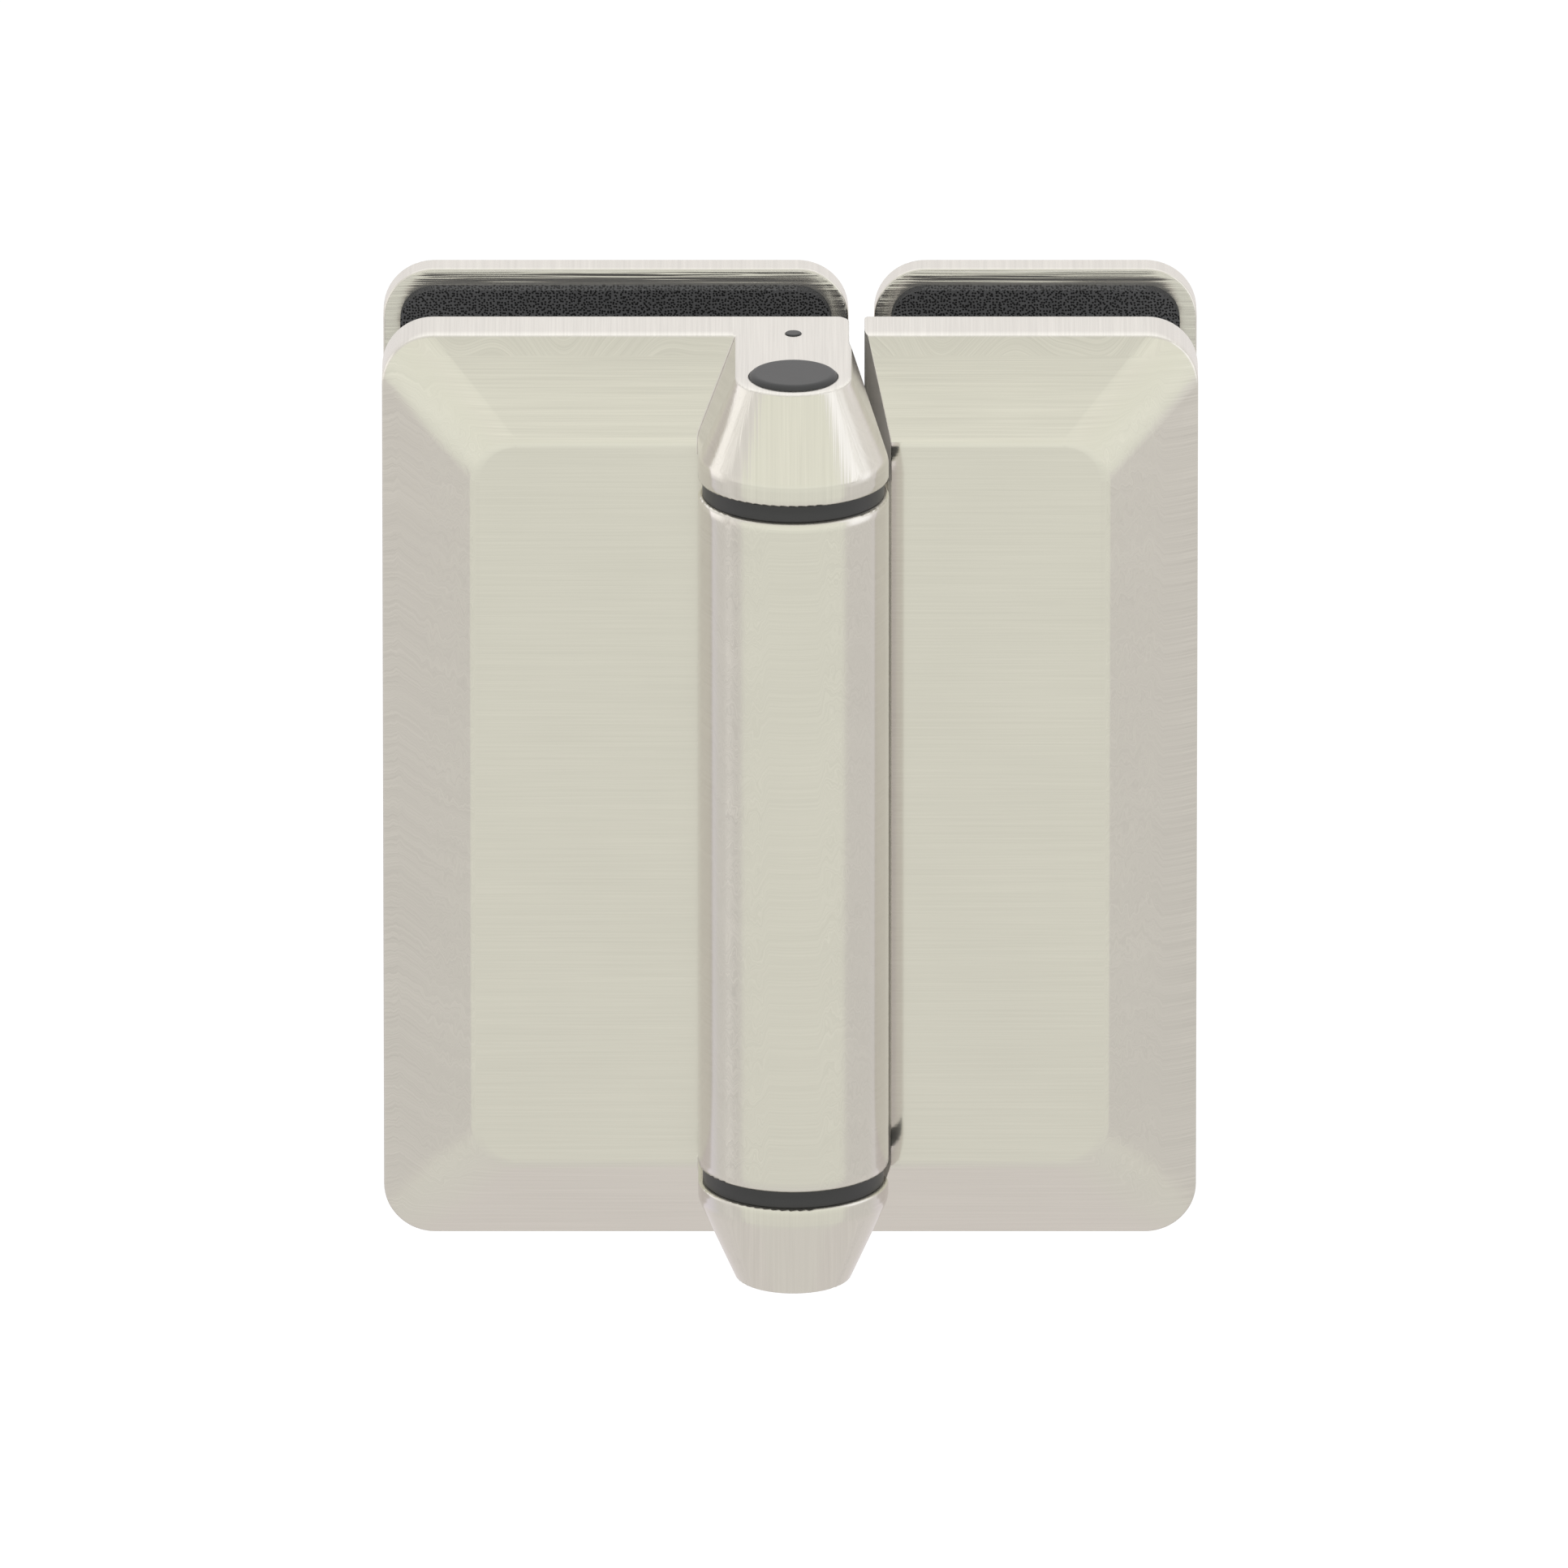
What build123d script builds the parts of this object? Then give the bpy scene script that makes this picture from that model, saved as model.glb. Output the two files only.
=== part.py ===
from build123d import *
import os
from math import cos, hypot, radians, sin

# Self-closing glass-to-glass door hinge.
# Frame: +Z up along the pivot axis, +Y from the front of the door to the back, +X towards the gate leaf.
# The origin lies on the pivot axis at the leaves' mid height.  Millimetres.

# ---- leaves ------------------------------------------------------------------------------------------
leaf_height = 117.0            # both leaves and both back plates
fixed_reach = 50.5             # pivot axis to the fixed leaf's outer edge
gate_reach = 49.7              # pivot axis to the gate leaf's outer edge
leaf_back_y = 22.85            # plane that the front gaskets lie on
rim_thickness = 7.45           # leaf thickness at its outer edge
bevel_rise = 7.4               # plateau above the rim
bevel_width = 11.35            # rim edge to plateau edge, seen from the front
rim_corner_radius = 6.3
plateau_corner_radius = 5.5
plateau_edge_radius = 2.2      # soft edge between bevel and plateau
edge_radius = 0.35             # broken outer edges of the castings
hinge_side_slant = 21.1        # the leaves' facing sides, degrees from the front-to-back direction
fixed_side_x = 6.85            # fixed leaf's end beside the gap
gate_side_x = 8.74             # gate leaf's end beside the gap
gate_plateau_x = 12.0          # start of the gate leaf's plateau
fixed_back_corner_radius = 2.3
gate_back_corner_radius = 1.2
side_blend_radius = 8.0        # between the straight and the slanted part of a facing side

# ---- barrel and knuckles -----------------------------------------------------------------------------
barrel_radius = 11.72
barrel_centre_z = -0.14        # the lower knuckle is a little shorter than the upper one
barrel_edge_radius = 0.4
barrel_bore_radius = 9.6
barrel_clearance = 0.5         # fixed leaf's hollow round the barrel
knuckle_height = 12.83         # mean of the two
knuckle_end_radius = 7.1       # outer end of a knuckle
knuckle_straight = 2.43        # full radius, inner face to shoulder, mean of the two
knuckle_end_edge = 0.4
knuckle_shoulder_radius = 3.0
knuckle_inner_edge = 0.3
knuckle_flat_inset = 1.09      # flat beside the gate leaf, inside the barrel's radius
knuckle_root_radius = 0.25      # small fillet where a knuckle rises from the plateau
knuckle_embed = 2.0            # knuckles run this far into the rim slab
washer_radius = 11.15
washer_thickness = 2.1
washer_bore_radius = 5.2
washer_play = 0.03             # each face
neck_front_angle = 28.0        # where the neck leaves the barrel, degrees from +X
neck_back_angle = 62.0
neck_setback = 1.1             # neck behind the plateau
neck_end_inset = 1.6           # neck shorter than the barrel, each end
neck_clearance = 0.8           # fixed leaf's relief behind the neck
neck_embed = 1.0               # neck runs this far into the barrel's wall

# ---- back plates, gaskets and clamping ---------------------------------------------------------------
clamp_gap = 17.65              # leaf back to plate front
back_plate_thickness = 4.0
fixed_plate_end_x = 6.8
gate_plate_start_x = 9.95
back_plate_edge_radius = 0.6
gasket_thickness = 2.05
gasket_inset = 2.1
gasket_corner_radius = 4.2
screw_spacing = 65.0
screw_radius = 3.0
screw_length = 30.0
screw_head_radius = 6.0
screw_socket_width = 4.0
screw_socket_depth = 2.4
screw_hole_play = 0.2
thread_play = 0.02
thread_hole_end = 1.5          # threaded holes deeper than the screws
sleeve_radius = 5.0
sleeve_play = 0.1

# ---- end caps and peg --------------------------------------------------------------------------------
cap_radius = 5.5
cap_proud = 0.54
cap_edge_radius = 0.9
cap_flange_depth = 1.0
cap_stub_radius = 4.6
cap_stub_length = 3.4
cap_play = 0.03
cap_bore_depth = 4.7
peg_radius = 1.0
peg_y = 16.12
peg_length = 8.0
peg_proud = 0.15

# ---- drive key and pivot pin -------------------------------------------------------------------------
key_width = 7.0                # hexagon across flats
key_head_radius = 4.5
key_head_height = 2.0
key_play = 0.03
key_grip = 8.0                 # key length inside the spindle's socket
pivot_radius = 4.0
pivot_play = 0.04
pivot_grip = 9.0               # pin length inside the bush
pivot_access_radius = 1.6      # hollow for the speed screw's key
pin_chamfer = 0.5

# ---- closer: gland, spindle, cylinder, piston, spring, end plug --------------------------------------
seat_recess = 0.3              # gland and end plug below the barrel's ends
bore_play = 0.04               # parts screwed or pressed into the barrel
gland_height = 8.0
spindle_radius = 6.0
spindle_play = 0.04
collar_radius = 7.2
collar_height = 1.5
collar_gap = 0.2
spindle_below_slot = 3.0
cylinder_wall = 2.0
piston_play = 0.05
piston_travel = 10.0           # for the full opening angle
opening_angle = 90.0
cross_pin_radius = 1.5
slot_play = 0.25
pin_depth = 5.4                # cross pin below the piston's top
pin_above_play = 0.3           # piston's top below the collar, closed
keyway_depth = 1.05
keyway_play = 0.15
piston_sleeve_play = 0.25
piston_crown = 5.0
crown_gap = 0.5                # spindle's foot to piston crown, closed
spring_boss_radius = 3.6
spring_boss_height = 3.0
spring_wire = 2.0              # square wire
spring_mean_radius = 5.3
spring_turns = 7.0
spring_play = 0.05
plug_height = 19.45            # end plug with its spigot
plug_spigot_height = 3.0
bush_radius = 5.5
speed_screw_radius = 2.5
speed_screw_length = 5.0
speed_screw_tip = 1.6
speed_screw_gap = 0.5          # foot of the speed screw above the pivot pin
speed_seat_gap = 0.1           # needle off its seat
speed_socket_width = 2.5
speed_socket_depth = 1.8
oil_port_radius = 1.0
seal_radius = 0.88
seal_play = 0.05

# ---- modelling ---------------------------------------------------------------------------------------
tolerance = 0.01               # for picking edges by their place

# ---- derived levels and planes -----------------------------------------------------------------------
half_height = leaf_height / 2
knuckle_taper_length = knuckle_height - knuckle_straight
knuckle_flat_distance = barrel_radius - knuckle_flat_inset
barrel_length = leaf_height - 2 * (knuckle_height + washer_thickness)
rim_front_y = leaf_back_y - rim_thickness
plateau_y = rim_front_y - bevel_rise
barrel_top = barrel_centre_z + barrel_length / 2
barrel_bottom = barrel_centre_z - barrel_length / 2
knuckle_top_face = barrel_top + washer_thickness
knuckle_bottom_face = barrel_bottom - washer_thickness
plate_front_y = leaf_back_y + clamp_gap
plate_back_y = plate_front_y + back_plate_thickness
slant_cos = cos(radians(hinge_side_slant))
slant_sin = sin(radians(hinge_side_slant))
cap_bore_floor = half_height - cap_bore_depth
cylinder_radius = barrel_bore_radius - bore_play
cylinder_bore_radius = cylinder_radius - cylinder_wall
gland_top = barrel_top - seat_recess
gland_bottom = gland_top - gland_height
collar_top = gland_bottom - collar_gap
socket_floor = gland_top - key_grip
piston_radius = cylinder_bore_radius - piston_play
piston_top = collar_top - collar_height - pin_above_play
pin_z = piston_top - pin_depth
helix_pitch_ratio = spindle_radius * radians(opening_angle) / piston_travel
slot_width = 2 * (cross_pin_radius * hypot(1, helix_pitch_ratio) + slot_play)
spindle_foot = pin_z - piston_travel - slot_width / 2 - spindle_below_slot
crown_top = spindle_foot - crown_gap
crown_bottom = crown_top - piston_crown
plug_bottom = barrel_bottom + seat_recess
spring_seat = plug_bottom + plug_height
cylinder_bottom = spring_seat - plug_spigot_height
bush_top = plug_bottom + pivot_grip
speed_screw_top = bush_top + speed_screw_length + speed_screw_gap
gate_slant_distance = slant_cos * gate_plateau_x + slant_sin * plateau_y
fixed_screw_x = (fixed_plate_end_x - fixed_reach) / 2
gate_screw_x = (gate_plate_start_x + gate_reach) / 2
screw_tip_y = plate_back_y - screw_length
gland_seal_ring = spindle_radius + seal_play + seal_radius
gland_seal_z = (gland_top + gland_bottom) / 2
piston_seal_ring = cylinder_bore_radius - seal_play - seal_radius
piston_seal_z = (crown_top + crown_bottom) / 2
plug_seal_ring = barrel_bore_radius - seal_play - seal_radius
plug_seal_z = (plug_bottom + cylinder_bottom) / 2


# ---- shared shapes -----------------------------------------------------------------------------------
def prism(points, bottom, top):
    """Solid with a plan outline, between two levels."""
    return extrude(Pos(0, 0, bottom) * make_face(Polyline(*points, close=True)), amount=top - bottom)


def rod(radius, bottom, top):
    """Round bar on the pivot axis."""
    return Pos(0, 0, bottom) * extrude(Circle(radius), amount=top - bottom)


def tube(outer, inner, bottom, top):
    return rod(outer, bottom, top) - rod(inner, bottom, top)


def hex_bar(width, bottom, top):
    hexagon = RegularPolygon(width / 2, 6, major_radius=False)
    return Pos(0, 0, bottom) * extrude(hexagon, amount=top - bottom)


def upright_plate(start_x, end_x, height, radius):
    """Face in the XZ plane with four rounded corners."""
    width = end_x - start_x
    return Pos(start_x + width / 2, 0) * RectangleRounded(width, height, radius)


def at_depth(y):
    """XZ work plane whose local axes are +X and +Z, at a distance back from the pivot axis."""
    return Plane((0, y, 0), x_dir=(1, 0, 0), z_dir=(0, -1, 0))


def screw_places(x):
    return [Pos(x, 0, side * screw_spacing / 2) for side in (-1, 1)]


def nearest(shape, point):
    """The shape's vertex nearest to a point."""
    return shape.vertices().sort_by_distance(point)[0]


def along_y(radius, start_y, end_y):
    """Round bar lying front to back, centred over the origin."""
    return extrude(at_depth(end_y) * Circle(radius), amount=end_y - start_y)


# ---- leaves ------------------------------------------------------------------------------------------
def leaf_outline(outer_x, inner_x, inset, radius):
    """Leaf seen from the front: square beside the hinge, rounded at the outer corners."""
    outward = 1 if outer_x > inner_x else -1
    width = abs(outer_x - inner_x) - inset
    centre_x = inner_x + outward * width / 2
    outline = Pos(centre_x, 0) * Rectangle(width, leaf_height - 2 * inset)
    return fillet(outline.vertices().group_by(Axis.X)[-1 if outward > 0 else 0], radius)


def lies_at(value, place):
    return abs(value - place) < tolerance


def leaf_blank(outer_x, inner_x):
    """Rim slab with bevels rising to the plateau on three sides."""
    rim = leaf_outline(outer_x, inner_x, 0, rim_corner_radius)
    plateau = leaf_outline(outer_x, inner_x, bevel_width, plateau_corner_radius)
    slab = extrude(at_depth(leaf_back_y) * rim, amount=rim_thickness)
    crown = loft([at_depth(rim_front_y) * rim, at_depth(plateau_y) * plateau], ruled=True)
    blank = slab + crown
    plateau_edges = blank.faces().sort_by(Axis.Y)[0].edges().filter_by(
        lambda edge: abs(edge.center().X - inner_x) > plateau_edge_radius
    )
    blank = fillet(plateau_edges, plateau_edge_radius)
    rim_edges = blank.edges().filter_by(
        lambda edge: lies_at(edge.center().Y, rim_front_y) or lies_at(edge.center().Y, leaf_back_y)
    ).filter_by(lambda edge: not lies_at(edge.center().X, inner_x))
    return fillet(rim_edges, edge_radius)


def side_line_x(distance, y):
    """X of the slanted side plane that passes at a distance from the pivot axis."""
    return (distance - slant_sin * y) / slant_cos


def knuckle_half_profile(inner_z):
    """Radius against level: tapered nose, soft shoulder, straight part, rounded inner edge."""
    full_z = half_height - knuckle_taper_length
    profile = make_face(Polyline(
        (0, inner_z),
        (barrel_radius, inner_z),
        (barrel_radius, full_z),
        (knuckle_end_radius, half_height),
        (0, half_height),
        close=True,
    ))
    rounded = (
        (barrel_radius, inner_z, knuckle_inner_edge),
        (barrel_radius, full_z, knuckle_shoulder_radius),
        (knuckle_end_radius, half_height, knuckle_end_edge),
    )
    for radius, level, rounding in rounded:
        profile = fillet(nearest(profile, (radius, level)), rounding)
    return profile


def knuckle(inner_z):
    """Round front, straight sides running back into the leaf."""
    half = Plane.XZ * knuckle_half_profile(inner_z)
    nose = revolve(half, Axis.Z)
    root = extrude(half + mirror(half, Plane.YZ), amount=-(rim_front_y + knuckle_embed))
    return nose + root


def knuckle_root_edges(body):
    """Edges along which the knuckles' outer sides rise from the plateau and the bevels."""
    inner_face = max(knuckle_top_face, -knuckle_bottom_face)
    return body.edges().filter_by(
        lambda edge: -barrel_radius - tolerance < edge.center().X < -knuckle_end_radius
        and plateau_y - tolerance < edge.center().Y < rim_front_y
        and abs(edge.center().Z) > inner_face
    )


def plan_limit(side_x, slant_distance, outer_x, corner_radius):
    """Column whose plan shape ends a leaf beside the gap: straight at the back, slanted towards the front."""
    bend_y = (slant_distance - slant_cos * side_x) / slant_sin
    front_y = -2 * barrel_radius
    outline = make_face(Polyline(
        (outer_x, leaf_back_y),
        (side_x, leaf_back_y),
        (side_x, bend_y),
        (side_line_x(slant_distance, front_y), front_y),
        (outer_x, front_y),
        close=True,
    ))
    outline = fillet(nearest(outline, (side_x, leaf_back_y)), corner_radius)
    outline = fillet(nearest(outline, (side_x, bend_y)), side_blend_radius)
    return Pos(0, 0, -leaf_height) * extrude(outline, amount=2 * leaf_height)


def neck_outline(clearance):
    """Plan of the neck that joins barrel and gate leaf; the clearance widens its rear side only."""
    front = radians(neck_front_angle)
    back = radians(neck_back_angle)
    inside = barrel_radius - neck_embed
    front_y = plateau_y + neck_setback
    front_x = side_line_x(gate_slant_distance, front_y)
    shift_x = -clearance * cos(radians(90 - neck_back_angle))
    shift_y = clearance * cos(radians(neck_back_angle))
    return [
        (inside * cos(front), inside * sin(front)),
        (front_x + edge_radius, front_y),
        (gate_side_x + side_blend_radius, rim_front_y + shift_y),
        (gate_side_x, rim_front_y + shift_y),
        (inside * cos(back) + shift_x, inside * sin(back) + shift_y),
    ]


def screw_thread_holes(x):
    hole = along_y(screw_radius + thread_play, screw_tip_y - thread_hole_end, leaf_back_y)
    return [place * hole for place in screw_places(x)]


def cap_pocket():
    """Stepped hole in a knuckle's outer end: cap flange, cap stub, then the head of the key or pin."""
    pocket = rod(key_head_radius + key_play, cap_bore_floor - key_head_height, half_height)
    pocket += rod(cap_stub_radius + cap_play, cap_bore_floor, half_height)
    return pocket + rod(cap_radius + cap_play, half_height - cap_flange_depth, half_height)


def fixed_leaf():
    limit = plan_limit(fixed_side_x, knuckle_flat_distance, -2 * fixed_reach, fixed_back_corner_radius)
    body = leaf_blank(-fixed_reach, fixed_side_x) & limit
    body += knuckle(knuckle_top_face) & limit
    body += mirror(knuckle(-knuckle_bottom_face), Plane.XY) & limit
    body = fillet(knuckle_root_edges(body), knuckle_root_radius)
    body -= rod(barrel_radius + barrel_clearance, knuckle_bottom_face, knuckle_top_face)
    body -= prism(neck_outline(neck_clearance), knuckle_bottom_face, knuckle_top_face)
    body -= screw_thread_holes(fixed_screw_x)
    body -= hex_bar(key_width + 2 * key_play, knuckle_top_face, half_height)
    body -= rod(pivot_radius + key_play, -half_height, knuckle_bottom_face)
    body -= cap_pocket()
    body -= mirror(cap_pocket(), Plane.XY)
    body -= Pos(0, peg_y, 0) * rod(peg_radius + cap_play, half_height + peg_proud - peg_length, half_height)
    return body


def gate_leaf():
    leaf = leaf_blank(gate_reach, 0)
    leaf &= plan_limit(gate_side_x, gate_slant_distance, 2 * gate_reach, gate_back_corner_radius)
    barrel = rod(barrel_radius, barrel_bottom, barrel_top)
    barrel = fillet(barrel.edges().filter_by(GeomType.CIRCLE), barrel_edge_radius)
    neck = prism(neck_outline(0), barrel_bottom + neck_end_inset, barrel_top - neck_end_inset)
    body = leaf + barrel + neck
    body -= rod(barrel_bore_radius, barrel_bottom, barrel_top)
    body -= screw_thread_holes(gate_screw_x)
    return body


# ---- back plates and gaskets -------------------------------------------------------------------------
def back_plate(start_x, end_x, screw_x):
    face = at_depth(plate_back_y) * upright_plate(start_x, end_x, leaf_height, rim_corner_radius)
    plate = extrude(face, amount=back_plate_thickness)
    plate = fillet(plate.faces().sort_by(Axis.Y)[-1].edges(), back_plate_edge_radius)
    plate = fillet(plate.faces().sort_by(Axis.Y)[0].edges(), edge_radius)
    hole = along_y(screw_radius + screw_hole_play, plate_front_y, plate_back_y)
    countersink = countersink_cone(screw_head_radius + screw_hole_play)
    for place in screw_places(screw_x):
        plate -= place * hole
        plate -= place * countersink
    return plate


def countersink_cone(mouth_radius):
    """Cone with its mouth in the back plate's outer face."""
    depth = mouth_radius - screw_radius
    cone = Cone(screw_radius, mouth_radius, depth, align=(Align.CENTER, Align.CENTER, Align.MIN))
    return Pos(0, plate_back_y - depth, 0) * Rot(-90, 0, 0) * cone


def gasket(start_x, end_x, screw_x, front_y, hole_radius):
    """Foam pad, a little smaller than the metal that it lies on."""
    width_start = start_x + gasket_inset
    width_end = end_x - gasket_inset
    face = upright_plate(width_start, width_end, leaf_height - 2 * gasket_inset, gasket_corner_radius)
    pad = extrude(at_depth(front_y + gasket_thickness) * face, amount=gasket_thickness)
    hole = along_y(hole_radius, front_y, front_y + gasket_thickness)
    for place in screw_places(screw_x):
        pad -= place * hole
    return pad


def clamp_screw():
    """Countersunk screw with a hexagon socket, driven from the back."""
    shank = along_y(screw_radius, screw_tip_y, plate_back_y)
    socket_face = at_depth(plate_back_y) * RegularPolygon(screw_socket_width / 2, 6, major_radius=False)
    screw = shank + countersink_cone(screw_head_radius)
    screw -= extrude(socket_face, amount=screw_socket_depth)
    tip = screw.faces().sort_by(Axis.Y)[0].edges()
    return chamfer(tip, pin_chamfer)


def sleeve():
    """Plastic tube that keeps the glass clear of the screw."""
    back_y = plate_front_y - gasket_thickness
    bore = along_y(screw_radius + screw_hole_play, leaf_back_y, back_y)
    return along_y(sleeve_radius, leaf_back_y, back_y) - bore


def at_screws(piece, x):
    """The same piece at both screw places of a leaf, as separate solids."""
    return Compound([place * piece for place in screw_places(x)])


# ---- end caps, peg, washers, key and pivot pin -------------------------------------------------------
def end_cap():
    flange = rod(cap_radius, half_height - cap_flange_depth, half_height + cap_proud)
    flange = fillet(flange.edges().group_by(Axis.Z)[-1], cap_edge_radius)
    return flange + rod(cap_stub_radius, half_height - cap_stub_length, half_height)


def peg():
    body = Pos(0, peg_y, 0) * rod(peg_radius, half_height + peg_proud - peg_length, half_height + peg_proud)
    return fillet(body.edges().group_by(Axis.Z)[-1], peg_proud)


def washer(level):
    return tube(washer_radius, washer_bore_radius, level + washer_play, level + washer_thickness - washer_play)


def drive_key():
    """Hexagon key from the upper knuckle into the closer's spindle, with a round head."""
    shank = hex_bar(key_width, socket_floor, cap_bore_floor)
    shank = chamfer(shank.faces().sort_by(Axis.Z)[0].edges(), pin_chamfer)
    return shank + rod(key_head_radius, cap_bore_floor - key_head_height, cap_bore_floor)


def pivot_pin():
    """Pin from the lower knuckle into the bush, hollow for the speed screw's key."""
    tip = barrel_bottom + seat_recess + pivot_grip
    pin = rod(pivot_radius, -cap_bore_floor, tip)
    pin = chamfer(pin.edges().group_by(Axis.Z)[-1], pin_chamfer)
    pin += rod(key_head_radius, -cap_bore_floor, -cap_bore_floor + key_head_height)
    return pin - rod(pivot_access_radius, -cap_bore_floor, tip)


# ---- closer ------------------------------------------------------------------------------------------
def cross_bar(radius, length, level):
    """Round bar through the pivot axis, lying along X."""
    bar = Cylinder(radius, length, rotation=(0, 90, 0))
    return Pos(0, 0, level) * bar


def seal(ring_radius, level):
    return Pos(0, 0, level) * Torus(ring_radius, seal_radius)


def seal_groove(ring_radius, mouth_radius, level):
    """Square groove from the mouth's radius to just past the ring."""
    half_width = seal_radius + seal_play
    outward = 1 if ring_radius > mouth_radius else -1
    floor_radius = ring_radius + outward * half_width
    low, high = sorted((mouth_radius, floor_radius))
    return tube(high, low, level - half_width, level + half_width)


def helical_slot():
    """Slot through the spindle that turns by the opening angle over the piston's travel."""
    length = 4 * spindle_radius
    low_z = pin_z - piston_travel
    section = Rot(0, 0, -opening_angle) * Rectangle(length, slot_width)
    twisted = Solid.extrude_linear_with_rotation(
        (Pos(0, 0, low_z) * section).face(),
        center=(0, 0, low_z),
        normal=(0, 0, piston_travel),
        angle=opening_angle,
    )
    upper_end = cross_bar(slot_width / 2, length, pin_z)
    lower_end = Rot(0, 0, -opening_angle) * cross_bar(slot_width / 2, length, low_z)
    return upper_end + lower_end + twisted


def spindle():
    """Keyed to the upper knuckle; its collar stays under the gland and its slot drives the cross pin."""
    body = rod(spindle_radius, spindle_foot, gland_top)
    body = chamfer(body.edges().group_by(Axis.Z)[0], pin_chamfer)
    body += rod(collar_radius, collar_top - collar_height, collar_top)
    body -= hex_bar(key_width + 2 * key_play, socket_floor, gland_top)
    return body - helical_slot()


def gland():
    body = tube(cylinder_radius, spindle_radius + spindle_play, gland_bottom, gland_top)
    return body - seal_groove(gland_seal_ring, spindle_radius, gland_seal_z)


def cylinder():
    """Closer cylinder with two keyways for the ends of the cross pin."""
    body = tube(cylinder_radius, cylinder_bore_radius, cylinder_bottom, gland_bottom)
    low = pin_z - piston_travel
    keyway_radius = cross_pin_radius + keyway_play
    keyway_reach = cylinder_bore_radius + keyway_depth
    keyway = Pos(0, low) * Circle(keyway_radius)
    keyway += Pos(0, (low + gland_top) / 2) * Rectangle(2 * keyway_radius, gland_top - low)
    slot = extrude(Plane.YZ * keyway, amount=keyway_reach, both=True)
    return body - slot


def piston():
    sleeve_bore = spindle_radius + piston_sleeve_play
    body = rod(piston_radius, crown_bottom, piston_top)
    body -= rod(sleeve_bore, crown_top, piston_top)
    body += rod(spring_boss_radius, crown_bottom - spring_boss_height, crown_bottom)
    body -= cross_bar(cross_pin_radius + thread_play, 2 * piston_radius + 1, pin_z)
    return body - seal_groove(piston_seal_ring, piston_radius, piston_seal_z)


def cross_pin():
    length = 2 * (cylinder_bore_radius + keyway_depth - keyway_play)
    return cross_bar(cross_pin_radius, length, pin_z)


def closing_spring():
    """Compression spring of square wire between the end plug and the piston's crown."""
    rise = crown_bottom - spring_seat - spring_wire - 2 * spring_play
    path = Helix(rise / spring_turns, rise, spring_mean_radius)
    wire = sweep((path ^ 0) * Rectangle(spring_wire, spring_wire), path=path, is_frenet=True)
    return Pos(0, 0, spring_seat + spring_wire / 2 + spring_play) * wire


def end_plug():
    """Closes the cylinder, seats the spring and holds the pivot bush and the speed screw."""
    body = rod(cylinder_radius, plug_bottom, cylinder_bottom)
    body += rod(cylinder_bore_radius - piston_play, cylinder_bottom, spring_seat)
    body -= seal_groove(plug_seal_ring, cylinder_radius, plug_seal_z)
    body -= rod(bush_radius + thread_play, plug_bottom, bush_top)
    body -= rod(speed_screw_radius + thread_play, bush_top, speed_screw_top)
    body -= speed_cone(thread_play)
    return body - rod(oil_port_radius, speed_screw_top, spring_seat)


def speed_cone(play):
    return Pos(0, 0, speed_screw_top) * Cone(
        speed_screw_radius + play,
        oil_port_radius,
        speed_screw_tip,
        align=(Align.CENTER, Align.CENTER, Align.MIN),
    )


def speed_screw():
    """Needle screw that throttles the oil port, turned from below through the pivot pin."""
    foot = speed_screw_top - speed_screw_length
    body = rod(speed_screw_radius, foot, speed_screw_top) + speed_cone(0)
    body -= hex_bar(speed_socket_width, foot, foot + speed_socket_depth)
    return Pos(0, 0, -speed_seat_gap) * body


def pivot_bush():
    return tube(bush_radius, pivot_radius + pivot_play, plug_bottom, bush_top)


# ---- nodes -------------------------------------------------------------------------------------------
nodes = {
    "fixed_leaf": fixed_leaf(),
    "gate_leaf": gate_leaf(),
    "top_cap": end_cap(),
    "bottom_cap": mirror(end_cap(), Plane.XY),
    "peg": peg(),
    "upper_washer": washer(barrel_top),
    "lower_washer": washer(knuckle_bottom_face),
    "drive_key": drive_key(),
    "pivot_pin": pivot_pin(),
    "spindle": spindle(),
    "gland": gland(),
    "spindle_seal": seal(gland_seal_ring, gland_seal_z),
    "closer_cylinder": cylinder(),
    "piston": piston(),
    "piston_seal": seal(piston_seal_ring, piston_seal_z),
    "cross_pin": cross_pin(),
    "closing_spring": closing_spring(),
    "end_plug": end_plug(),
    "end_plug_seal": seal(plug_seal_ring, plug_seal_z),
    "pivot_bush": pivot_bush(),
    "speed_screw": speed_screw(),
}
sides = {
    "fixed": (-fixed_reach, fixed_plate_end_x, fixed_screw_x),
    "gate": (gate_plate_start_x, gate_reach, gate_screw_x),
}
back_gasket_y = plate_front_y - gasket_thickness
for side, (start_x, end_x, screw_x) in sides.items():
    nodes[f"{side}_back_plate"] = back_plate(start_x, end_x, screw_x)
    nodes[f"{side}_front_gasket"] = gasket(start_x, end_x, screw_x, leaf_back_y, sleeve_radius + sleeve_play)
    nodes[f"{side}_back_gasket"] = gasket(start_x, end_x, screw_x, back_gasket_y, screw_radius + sleeve_play)
    nodes[f"{side}_clamp_screws"] = at_screws(clamp_screw(), screw_x)
    nodes[f"{side}_screw_sleeves"] = at_screws(sleeve(), screw_x)

os.makedirs("parts", exist_ok=True)
for name, solid in nodes.items():
    export_step(solid, f"parts/{name}.step")
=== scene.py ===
import math

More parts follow.
